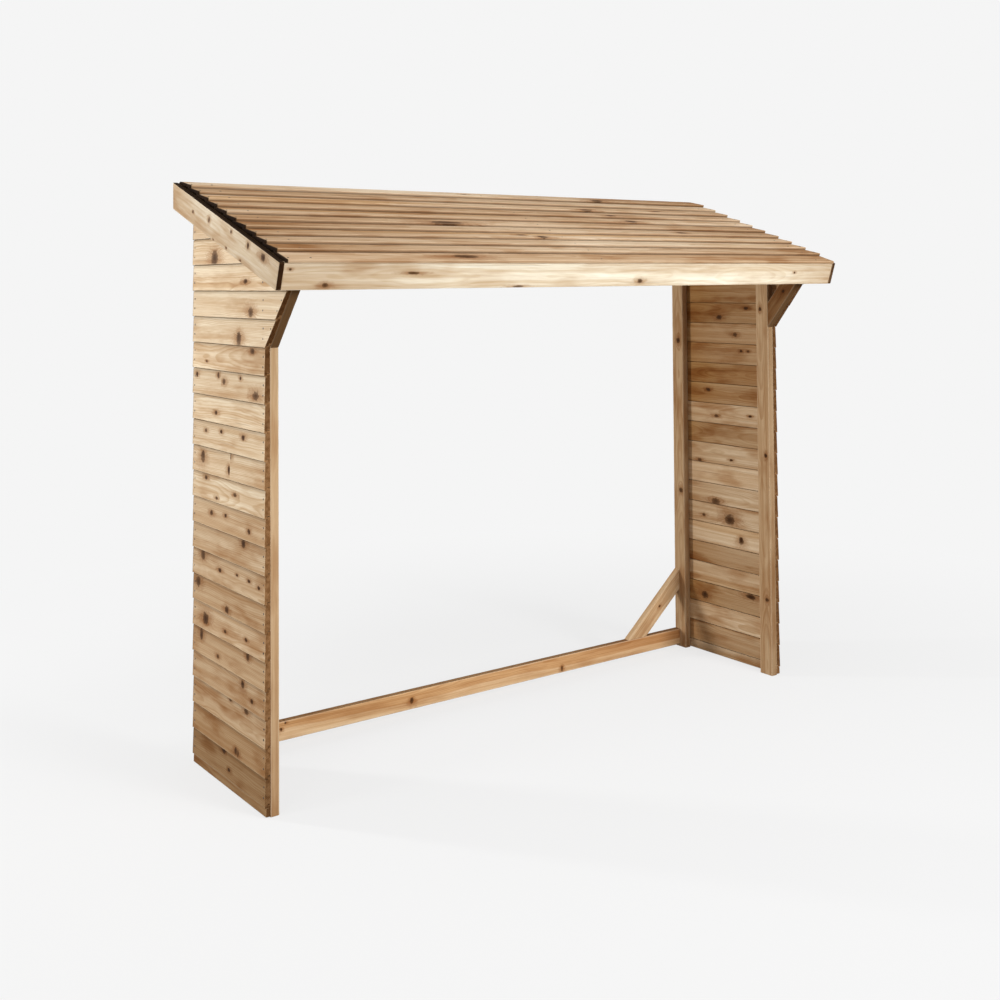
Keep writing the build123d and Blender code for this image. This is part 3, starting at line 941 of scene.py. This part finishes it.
# The knots on the fascia, by their place along it, how far they lie below its top edge, their radius and how
# far they are drawn out.
fascia_marks = ((-1.088, 0.02, 0.003, 1.0), (-0.978, 0.066, 0.0055, 1.3), (-0.7, 0.032, 0.003, 5.0),
                (-0.321, 0.077, 0.003, 5.0), (0.171, 0.063, 0.006, 1.3), (0.91, 0.036, 0.0035, 1.0))
fascia_knots = [(spot, *roof_place(0, -drop), size, drawn_out)
                for spot, drop, size, drawn_out in fascia_marks]
fascia_pith = roof_place(0.075, -0.048)
fascia_tone = (0, 0.5, 0.42, 0.05, 0, 0, 0, 0, 0.1, 0.6)
stick = across_stick(fascia_corners, trim_arris, (6, 2, 6, 2), (fascia_low[0], fascia_high[0]), 131,
                     fascia_tone, fascia_knots, fascia_pith)
make_piece("front_fascia_board", [stick], trim_wood, ["front_fascia"])

# The knots on the barge boards, by their depth from front to back, how far they lie below the top edge, their
# radius and how far they are drawn out.
barge_marks = ((-0.292, 0.02, 0.009, 1.2), (-0.189, 0.019, 0.008, 0.6), (-0.133, 0.077, 0.003, 1.0),
               (-0.068, 0.016, 0.004, 1.0), (-0.031, 0.071, 0.003, 1.0), (0.068, 0.078, 0.003, 1.0),
               (0.1, 0.03, 0.008, 0.6), (0.229, 0.042, 0.004, 1.0))
barge_knots = [((depth - fascia_y - drop * math.sin(roof_slope)) / math.cos(roof_slope), barge_high[0], drop,
                size, drawn_out) for depth, drop, size, drawn_out in barge_marks]
barge_pith = (barge_low[0] - 0.06, 0.045)
barge_tone = (-0.08, 0.6, 0.3, 0.5)
barge_end_stain = {1: 0.1, -1: 1.0}
for side, label in sides:
    stick = sloped_stick(barge_low[0], barge_high[0], (0, trim_height), trim_arris, 0, barge_high[1],
                         140 + side, barge_tone, barge_knots, barge_pith, shaded_top, barge_end_stain[side])
    make_piece(f"{label}_barge_trim", [stick], trim_wood, [f"{label}_barge_board"], side)

# Roof. Eleven feather-edged boards nailed across the rafters from the eaves up. The first lies flat, and each
# one above rests on the rafters at its upper edge and on the board below at its lower, thicker edge. Their
# left ends are painted dark for a few millimetres, and their thick lower edges carry painted shade.
roof_board_width = 0.088
roof_butt = 0.010
roof_tip = 0.007
eaves_drip = 0.006
roof_arris = 0.0012
roof_count = sum(name.startswith("roof_board_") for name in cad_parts)
first_low, first_high = (np.array(corner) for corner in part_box("roof_board_01"))
last_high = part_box(f"roof_board_{roof_count:02d}")[1]
roof_cover = (last_high[1] - first_high[1]) / (math.cos(roof_slope) * (roof_count - 1))
roof_wood = softwood("roof_boards", paint(241, 224, 198), paint(204, 175, 142), paint(222, 190, 148),
                     paint(46, 32, 22), 0.0036, 0.06)
# The knots on the roof, by their place along it, how many boards up from the eaves they lie, their radius and
# how far they are drawn out.
roof_marks = ((-0.507, 0.6, 0.014, 2.2), (-0.089, 3.1, 0.008, 1.6), (-0.154, 3.7, 0.008, 1.6),
              (0.619, 4.4, 0.012, 1.4), (-0.374, 5.1, 0.018, 2.4), (0.479, 6.2, 0.013, 1.4),
              (0.437, 7.1, 0.012, 1.4), (0.371, 8.0, 0.013, 1.5), (0.742, 8.4, 0.009, 1.5),
              (0.532, 10.0, 0.013, 1.5), (-0.061, 10.6, 0.006, 1.5))
# How deep the stain went into each roof board at its left end, its middle and its right end.
roof_stain = ((0.47, 0.5, 0.75), (0.85, 0.15, 0.8), (0.48, 0.05, 0.12), (0.68, 0, 0.22), (0.8, 0, 0.72),
              (0.78, 0.22, 0.78), (0.45, 0.5, 0.15), (0.62, 0.55, 0.35), (0.03, 0.22, 0.4), (0.66, 0.42, 0),
              (0, 0, 0.92))
supports = [(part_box(node)[0][0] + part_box(node)[1][0]) / 2
            for node in ("left_roof_bearer", "left_rafter", "middle_rafter", "right_rafter",
                         "right_roof_bearer")]
# How far the left ends of the roof boards are painted dark.
dark_start_length = 0.005
end_play = 0.0015
full_butt_shade = 1.15
# How far up a board its lowest knot may lie, how far from there the others spread, and where its nails are.
first_knot, knot_spread = 0.012, 0.05
nail_up = 0.02
nail_places = []
lift = 0.0
for number, stain in enumerate(roof_stain):
    draw = np.random.default_rng(160 + number)
    low = number * roof_cover - eaves_drip
    high = low + roof_board_width
    corners = [roof_place(low, lift), roof_place(high, 0), roof_place(high, roof_tip),
               roof_place(low, lift + roof_butt)]
    fall = (lift + roof_butt - roof_tip) / roof_board_width
    knots = []
    for spot, boards_up, size, drawn_out in roof_marks:
        if int(boards_up) == number:
            up_board = first_knot + knot_spread * (boards_up - number)
            on_top = roof_place(low + up_board, lift + roof_butt - fall * up_board)
            knots.append((spot, *on_top, size, drawn_out))
    pith = roof_place((low + high) / 2 + draw.uniform(-0.03, 0.03), -draw.uniform(0.02, 0.08))
    ends = (first_low[0] + draw.uniform(0, end_play), first_high[0] - draw.uniform(0, end_play))
    butt_foot = np.array(roof_place(low, lift))
    butt_shade = 0.1 if number == 0 else 0.7

    def shaded_butt(spots):
        """Painted shade on the thick lower edge, in the crease over the board below, which fades towards its
        top.
        """
        along_slope = (spots - butt_foot) @ up_slope[1:]
        above_foot = (butt_foot - spots) @ below_roof[1:]
        fading = np.clip(full_butt_shade - above_foot / roof_butt, 0, 1)
        return np.where(along_slope < roof_arris, butt_shade * fading, 0.0)

    tone = (draw.uniform(-0.04, 0.04), *stain)
    stick = across_stick(corners, roof_arris, (6, 1, 6, 5), ends, 180 + number, tone, knots, pith, shaded_butt,
                         dark_start_length)
    name = f"roof_board_{number + 1:02d}"
    make_piece(f"{name}_plank", [stick], roof_wood, [name])
    on_top = roof_place(low + nail_up, lift + roof_butt - fall * nail_up)
    nail_places += [(x, *on_top, *-below_roof) for x in supports]
    lift = max(lift + roof_butt - fall * roof_cover, roof_tip * roof_board_width / roof_cover)
nail_heads("roof_nail_heads", nail_places)

# Studio. A pale floor that keeps a soft shadow, the same pale ground behind it, an even sky, and soft lamps:
# a tall strip behind on the left that rakes across the walls, one beside the left wall, a weak one in front
# on the left, one in front for the eaves and the rail, and one high up for the roof.
ground_colour = (0.913, 0.913, 0.913, 1)
floor_bounce, floor_seen = (0.25, 0.25, 0.25, 1), (0.78, 0.78, 0.78, 1)
floor_reach = 40.0


def watched_by_camera(tree):
    """1 for what the camera sees, straight or in a shine or through glass, and 0 for light that bounces."""
    seen = add(tree, "ShaderNodeLightPath").outputs
    indirect = math_of(tree, "MAXIMUM", seen["Is Glossy Ray"], seen["Is Transmission Ray"])
    return math_of(tree, "MAXIMUM", seen["Is Camera Ray"], indirect)


floor_mesh = bpy.data.meshes.new("studio_floor")
floor_mesh.from_pydata([(-floor_reach, -floor_reach, 0), (floor_reach, -floor_reach, 0),
                        (floor_reach, floor_reach, 0), (-floor_reach, floor_reach, 0)], [], [(0, 1, 2, 3)])
floor = new_object("studio_floor", floor_mesh)
floor_paint, tree = blank(bpy.data.materials.new("studio_floor"))
watched = watched_by_camera(tree)
ground = add(tree, "ShaderNodeTexCoord").outputs["Object"]
spread = add(tree, "ShaderNodeVectorMath", {0: ground}, operation="LENGTH").outputs["Value"]
bright = product(tree, watched, rise(tree, spread, 1.0, 3.4, 0.8, 1.0))
matt = add(tree, "ShaderNodeBsdfDiffuse", {"Color": mix(tree, watched, floor_bounce, floor_seen)})
glow = add(tree, "ShaderNodeEmission", {"Color": ground_colour, "Strength": 1.0})
both = add(tree, "ShaderNodeMixShader", {0: bright, 1: matt.outputs[0], 2: glow.outputs[0]})
add(tree, "ShaderNodeOutputMaterial", {"Surface": both.outputs[0]})
floor_mesh.materials.append(floor_paint)

world, tree = blank(bpy.data.worlds.new("studio_sky"))
bpy.context.scene.world = world
sky = add(tree, "ShaderNodeBackground", {"Color": (1, 1, 1, 1), "Strength": 0.38})
pale = add(tree, "ShaderNodeBackground", {"Color": ground_colour, "Strength": 1.0})
both = add(tree, "ShaderNodeMixShader", {0: watched_by_camera(tree), 1: sky.outputs[0], 2: pale.outputs[0]})
add(tree, "ShaderNodeOutputWorld", {"Surface": both.outputs[0]})


def soft_lamp(name, spot, target, width, height, power):
    """A lamp this wide and high that faces the target."""
    lamp = bpy.data.lights.new(name, "AREA")
    lamp.shape = "RECTANGLE"
    lamp.size = width
    lamp.size_y = height
    lamp.energy = power
    holder = new_object(name, lamp)
    holder.location = spot
    aim = np.array(target) - np.array(spot)
    turn = math.atan2(aim[0], aim[1])
    tilt = math.atan2(math.hypot(aim[0], aim[1]), -aim[2])
    holder.rotation_euler = (tilt, 0, -turn)
    holder.visible_camera = False


soft_lamp("raking_lamp", (-4.0, 4.2, 2.1), (0.2, 0.0, 0.9), 0.4, 2.8, 215)
soft_lamp("side_lamp", (-3.8, 0.1, 2.7), (-1.05, 0.1, 1.2), 0.8, 0.8, 26)
soft_lamp("left_lamp", (-5.5, -3.5, 2.2), (0, 0, 0.9), 2.2, 2.2, 60)
soft_lamp("front_lamp", (1.6, -6.4, 2.3), (0, 0, 1.1), 1.6, 1.6, 355)
soft_lamp("roof_lamp", (0.3, -2.6, 5.6), (0, 0, 1.7), 2.0, 2.0, 85)

# Camera. It stands to the left in front at eye height, held almost level, with the picture cut from the lower
# part of its view, so that upright edges stay upright.
picture = 1000
sensor = 36.0
eye = np.array([-2.592, -3.630, 1.529])
yaw, pitch, roll = math.radians(37.881), math.radians(1.648), math.radians(-0.501)
focal_pixels = 1278.1
vanishing_centre = (584.6, 243.3)
ahead = np.array([math.sin(yaw) * math.cos(pitch), math.cos(yaw) * math.cos(pitch), math.sin(pitch)])
level = np.array([math.cos(yaw), -math.sin(yaw), 0])
over = np.cross(level, ahead)
screen_right = level * math.cos(roll) + over * math.sin(roll)
screen_up = over * math.cos(roll) - level * math.sin(roll)
camera_data = bpy.data.cameras.new("camera")
camera_data.sensor_width = sensor
camera_data.lens = focal_pixels * sensor / picture
camera_data.shift_x = 0.5 - vanishing_centre[0] / picture
camera_data.shift_y = vanishing_centre[1] / picture - 0.5
camera = new_object("camera", camera_data)
matrix = np.eye(4)
matrix[:3, 0], matrix[:3, 1], matrix[:3, 2], matrix[:3, 3] = screen_right, screen_up, -ahead, eye
camera.matrix_world = Matrix(matrix.tolist())
bpy.context.scene.camera = camera
bpy.context.scene.view_settings.view_transform = "Standard"
